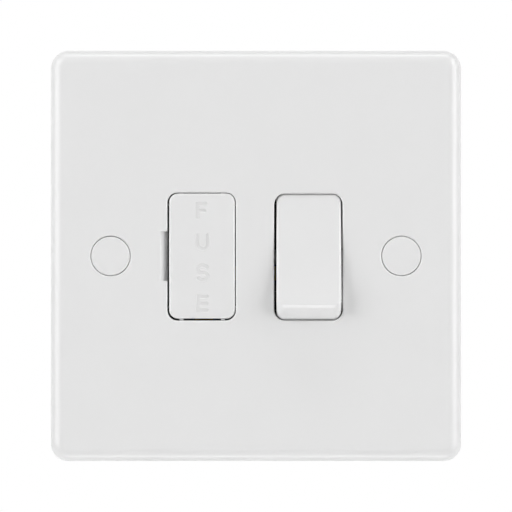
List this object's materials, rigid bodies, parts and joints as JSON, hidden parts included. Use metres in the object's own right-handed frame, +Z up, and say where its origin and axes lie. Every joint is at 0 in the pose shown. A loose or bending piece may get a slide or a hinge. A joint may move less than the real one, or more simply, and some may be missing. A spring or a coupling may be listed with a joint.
{
  "type": "fused spur unit",
  "caption": "Square white wall plate with a rocker switch and a pull-out cartridge fuse drawer, on a moulded rear housing with screw terminals.",
  "frame": {"origin": "midway between the two fixing holes, on the wall plane that the plate's rim lies on", "axes": "+X to the right seen from the front, +Y into the wall, +Z up; the front faces -Y"},
  "size_m": [0.0856, 0.031, 0.0856],
  "materials": {
    "white_moulding": "satin moulded urea resin",
    "housing_moulding": "matt moulded phenolic",
    "red_moulding": "moulded flash",
    "nylon": "natural nylon",
    "brass": "drawn and sawn",
    "clip_bronze": "rolled spring strip",
    "silver_contact": "silver faced",
    "plated_cap": "nickel plated",
    "plated_steel": "zinc plated",
    "spring_steel": "drawn wire",
    "fuse_ceramic": "fired, unglazed"
  },
  "bodies": {
    "unit": {"assembly_screws": "plated_steel", "clip_rivets": "brass", "earth_strap": "brass", "fixed_contact_tips": "silver_contact", "front_plate": "white_moulding", "fuse_clip_lower": "clip_bronze", "fuse_clip_upper": "clip_bronze", "live_link_strip": "brass", "load_earth_terminal": "brass", "load_live_strip": "brass", "load_live_terminal": "brass", "load_neutral_strip": "brass", "load_neutral_terminal": "brass", "rear_housing": "housing_moulding", "screw_cap_left": "white_moulding", "screw_cap_right": "white_moulding", "supply_earth_terminal": "brass", "supply_live_strip": "brass", "supply_live_terminal": "brass", "supply_neutral_strip": "brass", "supply_neutral_terminal": "brass", "terminal_screws": "plated_steel"},
    "switch_rocker": {"rocker": "white_moulding", "on_flash": "red_moulding", "live_spring": "spring_steel", "neutral_spring": "spring_steel"},
    "live_plunger_body": {"live_plunger": "nylon"},
    "neutral_plunger_body": {"neutral_plunger": "nylon"},
    "live_bar_body": {"live_contact_bar": "brass", "live_bar_tip": "silver_contact"},
    "neutral_bar_body": {"neutral_contact_bar": "brass", "neutral_bar_tip": "silver_contact"},
    "fuse_drawer": {"fuse_carrier": "white_moulding", "fuse_body": "fuse_ceramic", "fuse_cap_upper": "plated_cap", "fuse_cap_lower": "plated_cap"}
  },
  "joints": [
    {"name": "rocker_tilt", "type": "hinge", "parent": "unit", "child": "switch_rocker", "pos_m": [0.01096, -0.002, -0.00022], "axis": [1, 0, 0], "range_deg": [0, 19.5]},
    {"name": "live_bar_rock", "type": "hinge", "parent": "unit", "child": "live_bar_body", "pos_m": [0.00706, 0.00732, -0.00022], "axis": [1, 0, 0], "range_deg": [-18, 0]},
    {"name": "live_plunger_slide", "type": "slide", "parent": "switch_rocker", "child": "live_plunger_body", "axis": [0, -0.9856, 0.1693], "range_m": [0, 0.0006], "stiffness_N_per_m": 300, "springref_m": -0.002, "deforming": ["live_spring"]},
    {"name": "neutral_bar_rock", "type": "hinge", "parent": "unit", "child": "neutral_bar_body", "pos_m": [0.01486, 0.00732, -0.00022], "axis": [1, 0, 0], "range_deg": [-18, 0]},
    {"name": "neutral_plunger_slide", "type": "slide", "parent": "switch_rocker", "child": "neutral_plunger_body", "axis": [0, -0.9856, 0.1693], "range_m": [0, 0.0006], "stiffness_N_per_m": 300, "springref_m": -0.002, "deforming": ["neutral_spring"]},
    {"name": "fuse_carrier_slide", "type": "slide", "parent": "unit", "child": "fuse_drawer", "axis": [0, -1, 0], "range_m": [0, 0.01295]}
  ],
  "couplings": [
    {"joint": "live_bar_rock", "follows": "rocker_tilt", "ratio": -0.92308},
    {"joint": "neutral_bar_rock", "follows": "rocker_tilt", "ratio": -0.92308}
  ]
}
